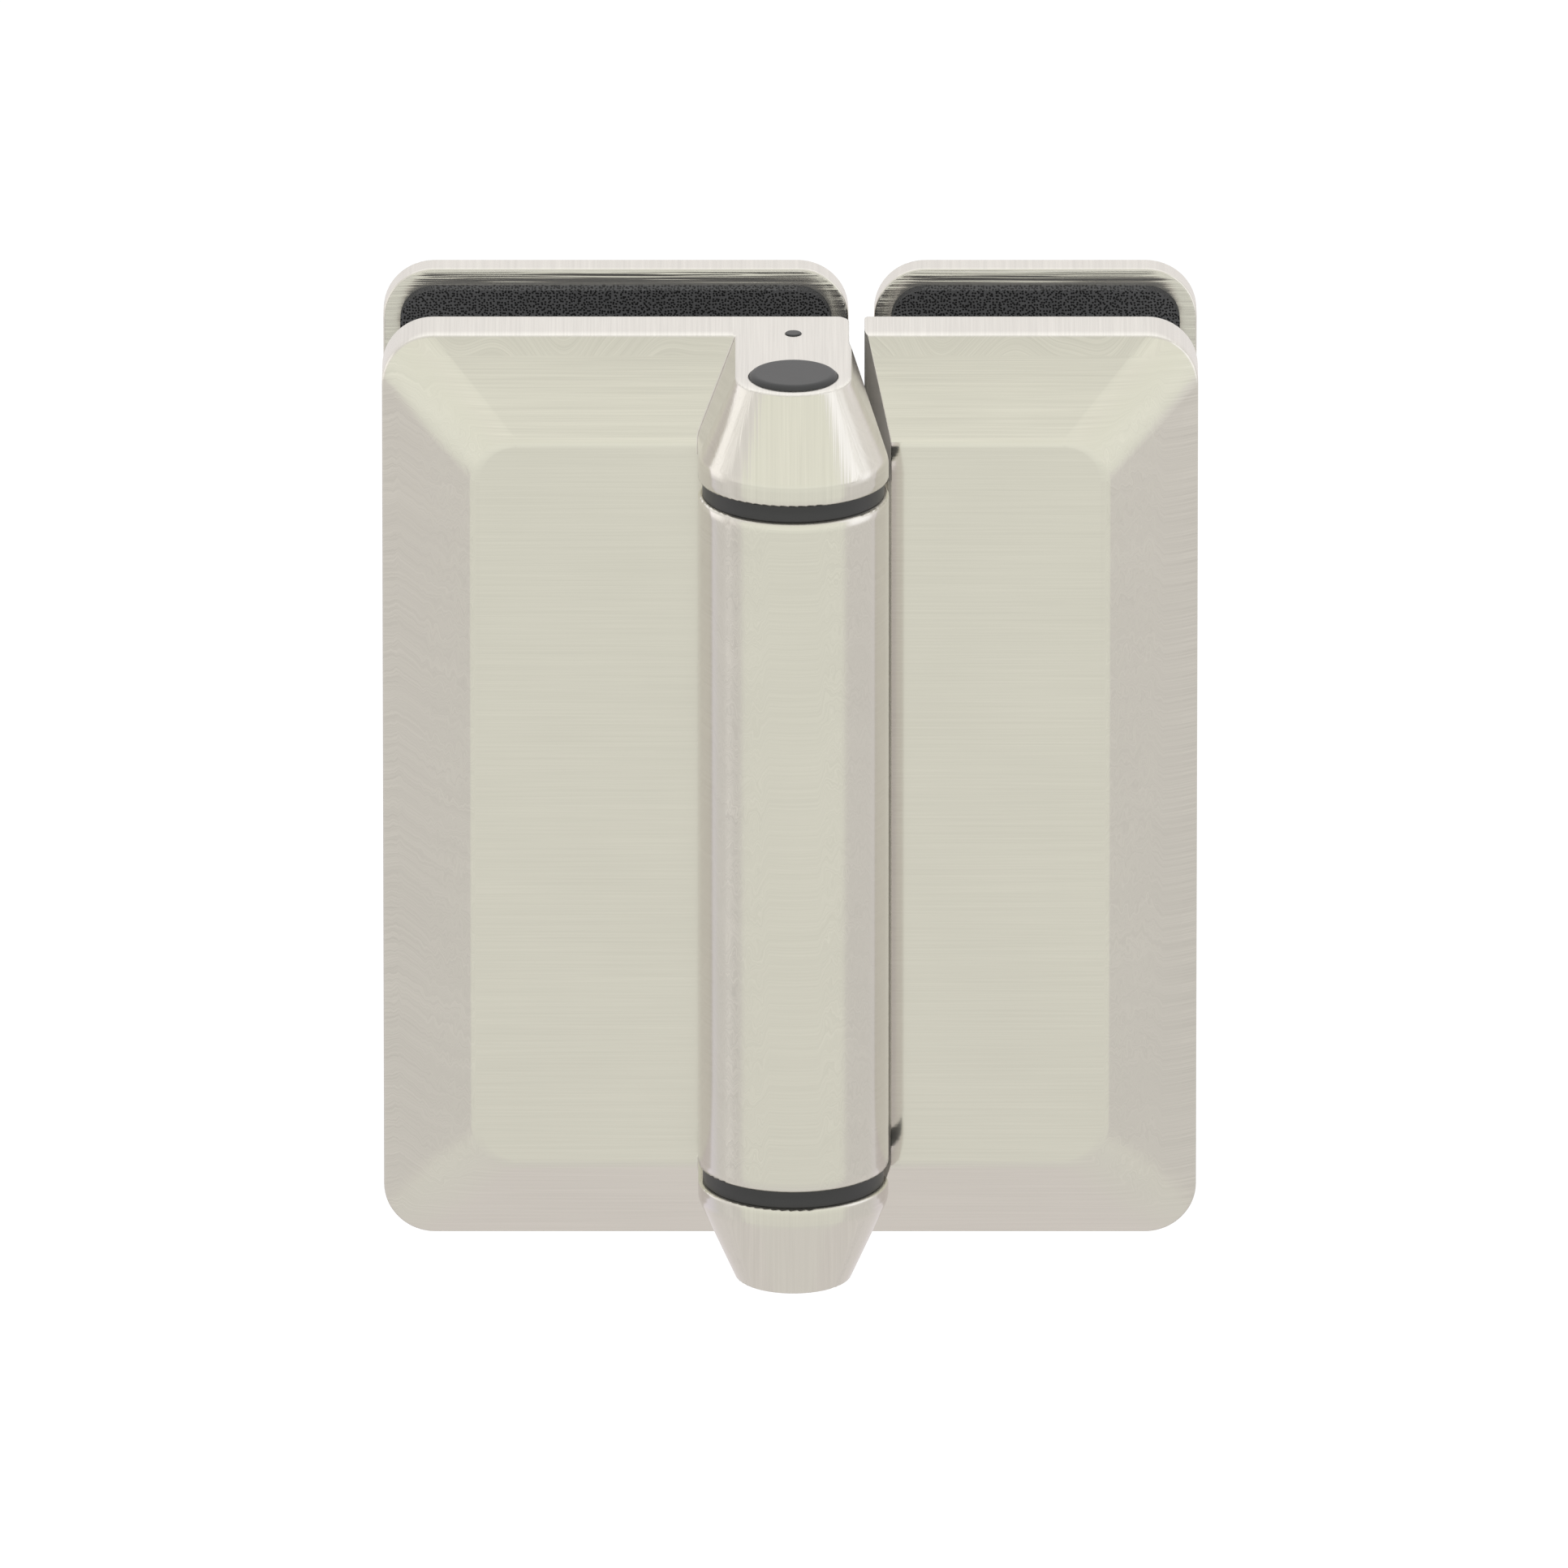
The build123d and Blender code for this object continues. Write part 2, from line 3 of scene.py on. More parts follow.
import bpy
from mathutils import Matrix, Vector


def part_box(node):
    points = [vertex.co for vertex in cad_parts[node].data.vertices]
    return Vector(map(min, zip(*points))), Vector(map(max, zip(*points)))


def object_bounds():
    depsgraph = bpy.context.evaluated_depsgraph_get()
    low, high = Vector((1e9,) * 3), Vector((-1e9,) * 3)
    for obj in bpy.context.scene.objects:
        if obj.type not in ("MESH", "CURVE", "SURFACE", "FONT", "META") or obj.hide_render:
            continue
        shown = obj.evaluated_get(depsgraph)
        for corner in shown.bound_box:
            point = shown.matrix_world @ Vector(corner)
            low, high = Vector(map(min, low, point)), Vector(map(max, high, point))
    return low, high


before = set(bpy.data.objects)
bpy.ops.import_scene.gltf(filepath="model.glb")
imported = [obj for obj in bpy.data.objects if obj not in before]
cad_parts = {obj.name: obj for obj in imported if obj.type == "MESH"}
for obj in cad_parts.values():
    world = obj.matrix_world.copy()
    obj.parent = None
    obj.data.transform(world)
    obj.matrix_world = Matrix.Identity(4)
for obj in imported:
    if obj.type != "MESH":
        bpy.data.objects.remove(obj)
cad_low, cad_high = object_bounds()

# Looks of a self-closing glass door hinge: brushed steel leaves, plates and barrel, grey end caps and
# washers, foam gaskets, and the closer's machined pieces inside.  Metres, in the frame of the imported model.

MM = 0.001

# ---- camera -------------------------------------------------------------------------------------------
CAMERA_ELEVATION = 19.51        # degrees above the horizon
CAMERA_DISTANCE = 6.453         # metres
VIEW_WIDTH = 1.921              # picture width, in widths of the hinge
AIM_ASIDE = -0.0074             # aim point from the hinge's centre, in its widths
AIM_UP = 0.0472                 # and in its heights
SENSOR = 36.0                   # mm
CLIPPING = (0.1, 50.0)          # nearest and farthest distance shown

# ---- studio -------------------------------------------------------------------------------------------
FLOOR_LEVEL = -0.55
FLOOR_SIZE = 12.0
FLOOR_COLOUR = (0.86, 0.86, 0.86, 1)
FLOOR_LIFT = 0.75               # brings the pale floor to white where nothing shades it
TENT_RADIUS = 0.5
TENT_COLUMNS = 180
TENT_ROWS = 90
ROOM_LEVEL = 0.30               # fill light on matt surfaces
TOP_LIGHT_POWER = 9.0
TOP_LIGHT_SIZE = 0.7
TOP_LIGHT_HEIGHT = 1.2
TOP_LIGHT_FORWARD = 0.3

# Azimuths, in degrees, between which the tent's glow turns from front to side, and from side to rear.
FRONT_TO_SIDE = (61, 68)
SIDE_TO_REAR = (105, 150)
# The tent's glow by elevation, in degrees: in front of the hinge, beside it and behind it.
FRONT_GLOW = [
    (-90, (0.84, 0.80, 0.78)),
    (-50, (0.84, 0.83, 0.78)),
    (-20, (0.89, 0.89, 0.81)),
    (-8, (0.93, 0.94, 0.85)),
    (8, (1.03, 1.04, 0.94)),
    (25, (1.01, 1.02, 0.91)),
    (38, (1.02, 1.02, 0.92)),
    (47, (1.035, 1.04, 0.935)),
    (51, (0.995, 1.00, 0.90)),
    (57, (0.86, 0.86, 0.78)),
    (65, (0.86, 0.86, 0.79)),
    (77, (0.98, 0.98, 0.93)),
    (90, (1.02, 1.00, 0.98)),
]
SIDE_GLOW = [
    (-90, (0.84, 0.80, 0.78)),
    (-45, (0.81, 0.78, 0.75)),
    (-20, (0.77, 0.75, 0.72)),
    (-5, (0.82, 0.79, 0.76)),
    (8, (0.98, 0.95, 0.92)),
    (30, (0.92, 0.90, 0.87)),
    (90, (1.02, 1.00, 0.98)),
]
REAR_GLOW = [
    (-90, (0.84, 0.80, 0.78)),
    (-20, (0.80, 0.76, 0.74)),
    (5, (0.98, 0.95, 0.94)),
    (22, (1.00, 0.975, 0.97)),
    (40, (1.34, 1.33, 1.32)),
    (58, (1.36, 1.36, 1.34)),
    (75, (1.06, 1.05, 1.02)),
    (90, (1.02, 1.00, 0.98)),
]
# Soft boxes in the tent: azimuth from the front towards the gate leaf, elevation, half width and half height,
# half width of the soft edge, and added glow.
SOFT_BOXES = [
    (86, 22, 18, 28, 5, (0.37, 0.39, 0.43)),
    (-112, 9, 20, 16, 5, (0.34, 0.34, 0.34)),
    (-84, -20, 5, 14, 3, (0.08, 0.08, 0.08)),
    (-122, -22, 16, 12, 5, (0.02, 0.02, 0.06)),
]


def ramp(stops, value):
    """Colour between the two stops that a value lies between."""
    for (low, low_colour), (high, high_colour) in zip(stops, stops[1:]):
        if value <= high:
            share = (value - low) / (high - low)
            return Vector(low_colour).lerp(Vector(high_colour), share)
    return Vector(stops[-1][1])


def smooth_step(low, high, value):
    """0 up to low, 1 from high, smooth between."""
    share = min(1, max(0, (value - low) / (high - low)))
    return share * share * (3 - 2 * share)


def tent_glow(azimuth, elevation):
    """The tent's glow in one direction from the hinge, in degrees."""
    colour = ramp(FRONT_GLOW, elevation)
    colour = colour.lerp(ramp(SIDE_GLOW, elevation), smooth_step(*FRONT_TO_SIDE, abs(azimuth)))
    colour = colour.lerp(ramp(REAR_GLOW, elevation), smooth_step(*SIDE_TO_REAR, abs(azimuth)))
    for box_azimuth, box_elevation, half_width, half_height, edge, glow in SOFT_BOXES:
        across = abs(azimuth - box_azimuth)
        along = abs(elevation - box_elevation)
        inside = smooth_step(half_width + edge, half_width - edge, across)
        inside *= smooth_step(half_height + edge, half_height - edge, along)
        colour += Vector(glow) * inside
    return colour


# ---- node helpers -------------------------------------------------------------------------------------
def set_input(tree, socket, value):
    """Links a socket, or sets a plain value."""
    if isinstance(value, bpy.types.NodeSocket):
        tree.links.new(value, socket)
    else:
        socket.default_value = value


def add(tree, kind, inputs=None, **settings):
    """A shader node with its settings and inputs."""
    made = tree.nodes.new(kind)
    for key, value in settings.items():
        setattr(made, key, value)
    for key, value in (inputs or {}).items():
        set_input(tree, made.inputs[key], value)
    return made


def calc(tree, operation, *values):
    """Result of a math node."""
    return add(tree, "ShaderNodeMath", dict(enumerate(values)), operation=operation).outputs[0]


def product(tree, first, *others):
    """All the values multiplied together."""
    for value in others:
        first = calc(tree, "MULTIPLY", first, value)
    return first


def total(tree, first, *others):
    """All the values added up."""
    for value in others:
        first = calc(tree, "ADD", first, value)
    return first


def add_share(tree, base, share, amount):
    """Base plus a share of an amount."""
    return calc(tree, "ADD", base, calc(tree, "MULTIPLY", share, amount))


def absolute(tree, value):
    """The value without its sign."""
    return calc(tree, "ABSOLUTE", value)


def hypotenuse(tree, first, second):
    """Root of the sum of the two squares."""
    squares = total(tree, product(tree, first, first), product(tree, second, second))
    return calc(tree, "SQRT", squares)


def step_up(tree, value, low, high):
    """0 below low, 1 above high, smooth between."""
    made = add(
        tree,
        "ShaderNodeMapRange",
        {"Value": value, "From Min": low, "From Max": high},
        interpolation_type="SMOOTHSTEP",
    )
    return made.outputs["Result"]


def band(tree, value, rise, fall):
    """1 between a smooth rise and a smooth fall, each given as the values where it starts and ends."""
    return product(tree, step_up(tree, value, *rise), step_up(tree, value, *fall))


def between(tree, value, low, high):
    """1 where a value lies between two limits."""
    return product(tree, calc(tree, "GREATER_THAN", value, low), calc(tree, "LESS_THAN", value, high))


def mix_value(tree, factor, first, second):
    """First where the factor is 0, second where it is 1."""
    made = add(tree, "ShaderNodeMix", data_type="FLOAT")
    for index, value in ((0, factor), (2, first), (3, second)):
        set_input(tree, made.inputs[index], value)
    return made.outputs[0]


def mix_colour(tree, factor, first, second, blend="MIX"):
    """As mix_value, for colours."""
    made = add(tree, "ShaderNodeMix", data_type="RGBA", blend_type=blend)
    for index, value in ((0, factor), (6, first), (7, second)):
        set_input(tree, made.inputs[index], value)
    return made.outputs[2]


def new_group(name, inputs, outputs):
    """A node group with named sockets: (name, kind, default) in, (name, kind) out."""
    group = bpy.data.node_groups.new(name, "ShaderNodeTree")
    for socket, kind, default in inputs:
        made = group.interface.new_socket(socket, in_out="INPUT", socket_type=kind)
        made.default_value = default
    for socket, kind in outputs:
        group.interface.new_socket(socket, in_out="OUTPUT", socket_type=kind)
    return group, group.nodes.new("NodeGroupInput"), group.nodes.new("NodeGroupOutput")


def use_group(tree, group, **values):
    """A node group placed in a material, with its inputs, where _ stands for a space."""
    made = tree.nodes.new("ShaderNodeGroup")
    made.node_tree = group
    for key, value in values.items():
        set_input(tree, made.inputs[key.replace("_", " ")], value)
    return made


def new_material(name):
    """An empty node material and its tree."""
    material = bpy.data.materials.new(name)
    material.use_nodes = True
    material.node_tree.nodes.clear()
    return material, material.node_tree


def finish_material(tree, **values):
    """The Principled shader and the output, with the values that differ from plain."""
    inputs = {key.replace("_", " "): value for key, value in values.items()}
    shader = add(tree, "ShaderNodeBsdfPrincipled", inputs)
    add(tree, "ShaderNodeOutputMaterial", {"Surface": shader.outputs[0]})


def tinted(tree, colour, shade):
    """A colour times a shade."""
    return mix_colour(tree, 1.0, colour, shade, blend="MULTIPLY")


def coordinates(tree, kind):
    """Object position or unbent normal of the surface, as kind says."""
    return add(tree, "ShaderNodeTexCoord").outputs[kind]


def position_of(tree):
    """Position of the surface, split into X, Y and Z."""
    return add(tree, "ShaderNodeSeparateXYZ", {0: coordinates(tree, "Object")}).outputs


def normal_of(tree):
    """Unbent normal of the surface, split into X, Y and Z."""
    return add(tree, "ShaderNodeSeparateXYZ", {0: coordinates(tree, "Normal")}).outputs


def in_mm(tree, value, start, sign=1):
    """Millimetres from a plane, counted the way of sign."""
    return product(tree, calc(tree, "SUBTRACT", value, start), sign / MM)


def ramps(tree, distance, pieces):
    """Broken line through the origin: (start, end, slope) for each piece."""
    parts = []
    for start, end, slope in pieces:
        within = calc(tree, "MINIMUM", calc(tree, "MAXIMUM", distance, start), end)
        parts.append(product(tree, calc(tree, "SUBTRACT", within, start), slope))
    return total(tree, *parts)


def rounded_edges(tree, radius):
    """Normal that rounds the sharp edges."""
    return add(tree, "ShaderNodeBevel", {"Radius": radius}, samples=4).outputs[0]


def bumped(tree, **inputs):
    """Normal bent by a height."""
    return add(tree, "ShaderNodeBump", inputs).outputs[0]


# ---- shared effects -----------------------------------------------------------------------------------
FLOAT = "NodeSocketFloat"
STROKE_WIDTH = 0.22             # mm
STROKE_LENGTH = 22.0            # mm
FLAT_TOP = (0.70, 0.80)         # upright part of the normal, between sloping face and flat top


def stretched_noise(tree, position, scale, detail=2.0):
    """Noise stretched along the axes with small scales."""
    stretched = add(tree, "ShaderNodeVectorMath", {0: position, 1: scale}, operation="MULTIPLY")
    made = add(
        tree,
        "ShaderNodeTexNoise",
        {"Vector": stretched.outputs[0], "Scale": 1.0, "Detail": detail, "Roughness": 0.6},
    )
    return made.outputs["Fac"]


def make_brushing():
    """Belt-brushed metal: level strokes round upright surfaces, front-to-back strokes on flat tops.

    Upward turns the strokes up and down.  Shift bends them, as a rise in millimetres.  Widths and lengths are
    in millimetres too.  Height lies between 0 and 1, and Tone between -0.5 and 0.5.
    """
    group, given, result = new_group(
        "brushing",
        [
            ("Upward", FLOAT, 0.0),
            ("Shift", FLOAT, 0.0),
            ("Stroke Width", FLOAT, STROKE_WIDTH),
            ("Stroke Length", FLOAT, STROKE_LENGTH),
        ],
        [("Height", FLOAT), ("Tone", FLOAT), ("Flat Top", FLOAT)],
    )
    position = position_of(group)
    flat_top = step_up(group, absolute(group, normal_of(group)["Z"]), *FLAT_TOP)
    level = add_share(group, position["Z"], given.outputs["Shift"], MM)
    bent = add(group, "ShaderNodeCombineXYZ", {"X": position["X"], "Y": position["Y"], "Z": level})
    across = calc(group, "DIVIDE", 1 / MM, given.outputs["Stroke Width"])
    along = calc(group, "DIVIDE", 1 / MM, given.outputs["Stroke Length"])
    level_scale = add(group, "ShaderNodeCombineXYZ", {"X": along, "Y": along, "Z": across})
    upward_scale = add(group, "ShaderNodeCombineXYZ", {"X": across, "Y": along, "Z": along})
    level_strokes = stretched_noise(group, bent.outputs[0], level_scale.outputs[0])
    upward_strokes = stretched_noise(group, coordinates(group, "Object"), upward_scale.outputs[0])
    turned = calc(group, "MAXIMUM", flat_top, given.outputs["Upward"])
    strokes = mix_value(group, turned, level_strokes, upward_strokes)
    set_input(group, result.inputs["Height"], strokes)
    set_input(group, result.inputs["Tone"], calc(group, "SUBTRACT", strokes, 0.5))
    set_input(group, result.inputs["Flat Top"], flat_top)
    return group


def make_soft_edge():
    """A face that rolls off towards its edge, as polished faces do.

    Distance from the edge, reach of the roll and the height put out are in millimetres.  Slope is the one
    that the roll has at the edge.
    """
    group, given, result = new_group(
        "soft_edge",
        [("Distance", FLOAT, 0.0), ("Reach", FLOAT, 1.0), ("Slope", FLOAT, 0.1)],
        [("Height", FLOAT)],
    )
    within = calc(group, "SUBTRACT", given.outputs["Reach"], given.outputs["Distance"])
    within = calc(group, "MINIMUM", calc(group, "MAXIMUM", within, 0.0), given.outputs["Reach"])
    drop = calc(group, "DIVIDE", product(group, within, within), given.outputs["Reach"])
    set_input(group, result.inputs["Height"], product(group, drop, given.outputs["Slope"], -0.5))
    return group


def make_blotches():
    """Slow, faint unevenness of a finish, as a shade about 1.  Size is in millimetres."""
    group, given, result = new_group(
        "blotches",
        [("Size", FLOAT, 12.0), ("Amount", FLOAT, 0.05)],
        [("Shade", FLOAT)],
    )
    size = calc(group, "DIVIDE", 1 / MM, given.outputs["Size"])
    inputs = {"Vector": coordinates(group, "Object"), "Scale": size, "Detail": 3.0}
    noise = add(group, "ShaderNodeTexNoise", inputs)
    swing = calc(group, "SUBTRACT", noise.outputs["Fac"], 0.5)
    set_input(group, result.inputs["Shade"], add_share(group, 1.0, swing, given.outputs["Amount"]))
    return group


# ---- measures of the steel pieces ---------------------------------------------------------------------
TOP_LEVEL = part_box("fixed_leaf")[1].z
LEFT_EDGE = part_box("fixed_leaf")[0].x
RIGHT_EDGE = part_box("gate_leaf")[1].x
RIM_DEPTH = 7.45 * MM           # upright rim all round a leaf, from its back to the bevels
BEVEL_DEPTH = 7.4 * MM          # front to back, from the rim to the plateau
RIM_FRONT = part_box("gate_leaf")[1].y - RIM_DEPTH
PLATEAU = RIM_FRONT - BEVEL_DEPTH
BEFORE_PLATEAU = PLATEAU - 0.1 * MM
BEHIND_PLATEAU = PLATEAU + 0.1 * MM
GATE_PLATEAU_EDGE = 12.0 * MM   # beside the barrel
PLATEAU_TOP = 47.15             # mm, half the plateau's height
PLATE_CORNER = 6.3              # mm
BARREL_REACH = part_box("upper_washer")[1].x + 1.2 * MM   # covers the barrel and the knuckles
BARREL_ENDS = (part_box("upper_washer")[0].z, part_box("lower_washer")[1].z)
KNUCKLE_FACES = (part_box("upper_washer")[1].z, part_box("lower_washer")[0].z)
KNUCKLE_TOP_HALF = 7.4 * MM     # half width of the knuckles' flat ends
KNUCKLE_END_RADIUS = 7.1        # mm

# ---- finish of the steel pieces -----------------------------------------------------------------------
STEEL_COLOUR = (0.70, 0.68, 0.635, 1)
# Painted reflection: pinkish tint for the flanks of the barrel and knuckles, in place of what they mirror
# beside the hinge
FLANK_PAINTED_REFLECTION = (0.770, 0.735, 0.730, 1)
EDGE_ROUNDING = 0.25 * MM
STROKE_DEPTH = 0.006            # mm
STROKE_CONTRAST = 0.11          # change of colour from stroke to stroke
TOP_CONTRAST = 0.18             # added to that on flat tops
STROKE_ROUGHNESS = 0.10         # change of roughness from stroke to stroke
# What a piece has where its own look doesn't say otherwise.
PLAIN_LOOK = {
    "steel": STEEL_COLOUR,
    "metallic": 1.0,
    "roughness": 0.15,
    "stress": 0.0,
    "shadow": 1.0,
    "depth": STROKE_DEPTH,
    "edge": EDGE_ROUNDING,
}

# Parts of the unbent normal that tell the faces apart.  A pair says where a mask is 0 and where it is 1.
SIDE_BEVEL_NORMAL = ((0.25, 0.35), (0.85, 0.75))    # X, rise and fall
LEVEL_BEVEL_NORMAL = (0.35, 0.75)                   # Z, lower and upper limit
LEVEL_BEVEL_ASIDE = (0.20, 0.10)                    # X
RIM_FACING = 0.30                                   # Y, upper limit
FLANK_NORMAL = (0.78, 0.92)                         # X
NOSE_NORMAL = (0.75, 0.60)                          # X
NOSE_OUTWARD = ((-0.08, -0.01), (0.80, 0.70))       # Z away from the barrel, rise and fall
CONE_NORMAL = (0.05, 0.20)                          # Z
KNUCKLE_END_NORMAL = 0.95                           # Z, lower limit
SLANT_NORMAL = (-0.80, -0.90)                       # X
PLATE_FRONT_NORMAL = -0.9                           # Y, upper limit
CHEVRON_NORMAL = (-0.71, -0.58)                     # X, lower and upper limit

# How faces roll off towards their edges: reach in millimetres, and slope at the edge.
RIM_ROLL = (1.7, 0.17)
BEVEL_ROLL = (4.0, 0.075)
PLATEAU_ROLL = (1.5, 0.27)
PLATEAU_ROLL_WIDER = 1.0        # mm, away from the plateau's ends
PLATEAU_ROLL_GROWTH = (-0.5, 4.5)   # where it widens, mm from those ends
KNUCKLE_END_ROLL = (1.4, 0.12)
KNUCKLE_RING_ROLL = (1.0, 0.30)
BARREL_RING_ROLL = (1.4, 0.42)
# The back plates': reach, slope above and below, and slope at the sides.
PLATE_LIP = (0.9, 0.21, 0.0)
PLATE_ROLL = (2.5, 0.20, 0.22)
PLATE_JITTER = 1.2              # mm from stroke to stroke
PLATE_CORNERS = (-2.5, 1.5)     # where above and below turn into sides, mm

# The back plates' strokes: width and length in millimetres, and how many times as deep as the leaves' they
# are, above and below, and at the sides.
PLATE_STROKES = (0.55, 40.0)
PLATE_STROKE_DEPTHS = (2.6, 0.3)
PLATE_ROUGHNESS = 0.18
PLATE_DULLNESS = 0.28           # taken off metallic in front
# The strokes on the knuckles' noses.
NOSE_STROKES_WIDER = 0.12       # mm
CONE_STROKES_DEEPER = 8.0       # added to 1
# The gate leaf's slanted side, which faces the gap between the leaves, is less metallic and rougher, and its
# colour gets painted shade, darker deeper in the gap.
SLANT_DULLNESS = 0.75
SLANT_ROUGHER = 0.35
SLANT_SHADOW = 0.30
SHADOW_DEPTHS = (PLATEAU - 2.0 * MM, RIM_FRONT + 1.0 * MM)

# How strokes swing on the side bevels: from and to, in millimetres from the leaf's outer edge, and rise per
# millimetre.  Its strength is uneven from place to place.
LEFT_SWINGS = [(0.0, 2.0, -0.40), (2.0, 6.0, 0.55), (6.0, 10.8, 0.20)]
RIGHT_SWINGS = [(2.1, 4.2, -0.08), (4.2, 5.8, -1.5), (5.8, 10.8, 0.05)]
SWING_UNEVENNESS = 2.4
SWING_CHANGES = 45.0            # changes of strength across the leaf, and as many from end to end
# Curls in the strokes of the bevels above and below, next to the rim.
CURL_BAND = 1.4 * MM
CURL_SCALE = (90.0, 5.0, 5.0)   # changes per metre
CURL_RISE = 26.0                # mm
# How much stronger the strokes show on the bevels.
SIDE_STRESS = 0.07
OUTER_STRESS = 0.12
OUTER_BAND = 1.8                # mm from the leaf's outer edge
LEVEL_STRESS = 0.12
# Chevrons on an upright band of the barrel, about the line in its middle.
CHEVRON_MIDDLE = -7.5 * MM
CHEVRON_RISE = 0.7              # mm per mm from the middle
CHEVRON_STRESS = 0.22


def roll_off(tree, soft_edge, distance, reach, slope):
    """Height, in millimetres, of a face that rolls off towards its edge."""
    return use_group(tree, soft_edge, Distance=distance, Reach=reach, Slope=slope).outputs["Height"]


def near_axis(tree, limit):
    """1 on the barrel and the knuckles, ahead of a limit."""
    position = position_of(tree)
    within = calc(tree, "LESS_THAN", absolute(tree, position["X"]), BARREL_REACH)
    return product(tree, within, calc(tree, "LESS_THAN", position["Y"], limit))


def flank_mask(tree, limit):
    """1 on the flanks of the barrel and the knuckles, ahead of a limit.

    They get a painted reflection: a pinkish tint in place of what they would mirror beside the hinge.
    """
    aside = step_up(tree, absolute(tree, normal_of(tree)["X"]), *FLANK_NORMAL)
    return product(tree, near_axis(tree, limit), aside)


def nose_mask(tree):
    """1 on the noses of the knuckles, where the strokes run up and down."""
    position = position_of(tree)
    normal = normal_of(tree)
    beyond = calc(tree, "GREATER_THAN", absolute(tree, position["Z"]), BARREL_ENDS[0])
    to_front = step_up(tree, absolute(tree, normal["X"]), *NOSE_NORMAL)
    outward = product(tree, calc(tree, "SIGN", position["Z"]), normal["Z"])
    upright = band(tree, outward, *NOSE_OUTWARD)
    return product(tree, near_axis(tree, BEFORE_PLATEAU), beyond, to_front, upright)


def leaf_strokes(tree):
    """Rise of the strokes on a leaf's bevels, in millimetres, and how much stronger they show there."""
    position = position_of(tree)
    normal = normal_of(tree)
    aside = absolute(tree, normal["X"])
    side_bevel = band(tree, aside, *SIDE_BEVEL_NORMAL)
    from_left = in_mm(tree, position["X"], LEFT_EDGE)
    from_right = in_mm(tree, position["X"], RIGHT_EDGE, -1)
    swing = mix_value(
        tree,
        calc(tree, "GREATER_THAN", position["X"], 0.0),
        ramps(tree, from_left, LEFT_SWINGS),
        ramps(tree, from_right, RIGHT_SWINGS),
    )
    drift = add(tree, "ShaderNodeTexNoise", {"Scale": SWING_CHANGES, "Detail": 1.0})
    uneven = calc(tree, "SUBTRACT", drift.outputs["Fac"], 0.5)
    sideways = product(tree, side_bevel, swing, add_share(tree, 1.0, uneven, SWING_UNEVENNESS))

    sloping = between(tree, normal["Z"], *LEVEL_BEVEL_NORMAL)
    level = product(tree, sloping, step_up(tree, aside, *LEVEL_BEVEL_ASIDE))
    beside_rim = between(tree, position["Y"], RIM_FRONT - CURL_BAND, RIM_FRONT)
    curls = stretched_noise(tree, coordinates(tree, "Object"), CURL_SCALE, detail=0.0)
    curl = product(tree, calc(tree, "SUBTRACT", curls, 0.5), CURL_RISE)
    rise = add_share(tree, sideways, product(tree, level, beside_rim), curl)

    outermost = between(tree, calc(tree, "MINIMUM", from_left, from_right), 0.0, OUTER_BAND)
    on_side = product(tree, side_bevel, add_share(tree, SIDE_STRESS, outermost, OUTER_STRESS))
    return rise, add_share(tree, on_side, level, LEVEL_STRESS)


def rolled_edges(tree, soft_edge):
    """How the leaves' faces roll off.

    The rim does so towards its front edge, the bevels towards the rim, and the gate leaf's plateau towards
    the barrel.
    """
    position = position_of(tree)
    on_rim = calc(tree, "LESS_THAN", absolute(tree, normal_of(tree)["Y"]), RIM_FACING)
    beside = calc(tree, "GREATER_THAN", absolute(tree, position["X"]), KNUCKLE_TOP_HALF)
    reach, slope = RIM_ROLL
    behind_edge = in_mm(tree, position["Y"], RIM_FRONT)
    rim = roll_off(tree, soft_edge, behind_edge, reach, product(tree, beside, slope))
    before_edge = in_mm(tree, position["Y"], RIM_FRONT, -1)
    bevel = roll_off(tree, soft_edge, before_edge, *BEVEL_ROLL)

    from_end = calc(tree, "SUBTRACT", PLATEAU_TOP, product(tree, absolute(tree, position["Z"]), 1 / MM))
    reach, slope = PLATEAU_ROLL
    growth = step_up(tree, from_end, *PLATEAU_ROLL_GROWTH)
    reach = add_share(tree, reach, growth, PLATEAU_ROLL_WIDER)
    from_barrel = in_mm(tree, position["X"], GATE_PLATEAU_EDGE)
    plateau = roll_off(tree, soft_edge, from_barrel, reach, slope)
    on_plateau = product(
        tree,
        between(tree, position["Y"], BEFORE_PLATEAU, BEHIND_PLATEAU),
        calc(tree, "GREATER_THAN", position["X"], 0.9 * GATE_PLATEAU_EDGE),
    )
    return mix_value(tree, on_plateau, mix_value(tree, on_rim, bevel, rim), plateau)


def ring_roll(tree, soft_edge, ends, reach, slope):
    """Round surfaces on the pivot axis roll off towards the washers, at the levels given in ends."""
    level = position_of(tree)["Z"]
    from_upper, from_lower = (absolute(tree, in_mm(tree, level, end)) for end in ends)
    nearest = calc(tree, "MINIMUM", from_upper, from_lower)
    roll = roll_off(tree, soft_edge, nearest, reach, slope)
    return product(tree, roll, near_axis(tree, BEFORE_PLATEAU))


def knuckle_end_roll(tree, soft_edge):
    """The knuckles' flat ends roll off towards their outline, which is round in front and straight behind."""
    position = position_of(tree)
    ahead = calc(tree, "MINIMUM", position["Y"], 0.0)
    radius = hypotenuse(tree, position["X"], ahead)
    inside = calc(tree, "SUBTRACT", KNUCKLE_END_RADIUS, product(tree, radius, 1 / MM))
    flat_end = calc(tree, "GREATER_THAN", absolute(tree, normal_of(tree)["Z"]), KNUCKLE_END_NORMAL)
    before_rim = calc(tree, "LESS_THAN", position["Y"], RIM_FRONT)
    return product(tree, roll_off(tree, soft_edge, inside, *KNUCKLE_END_ROLL), flat_end, before_rim)


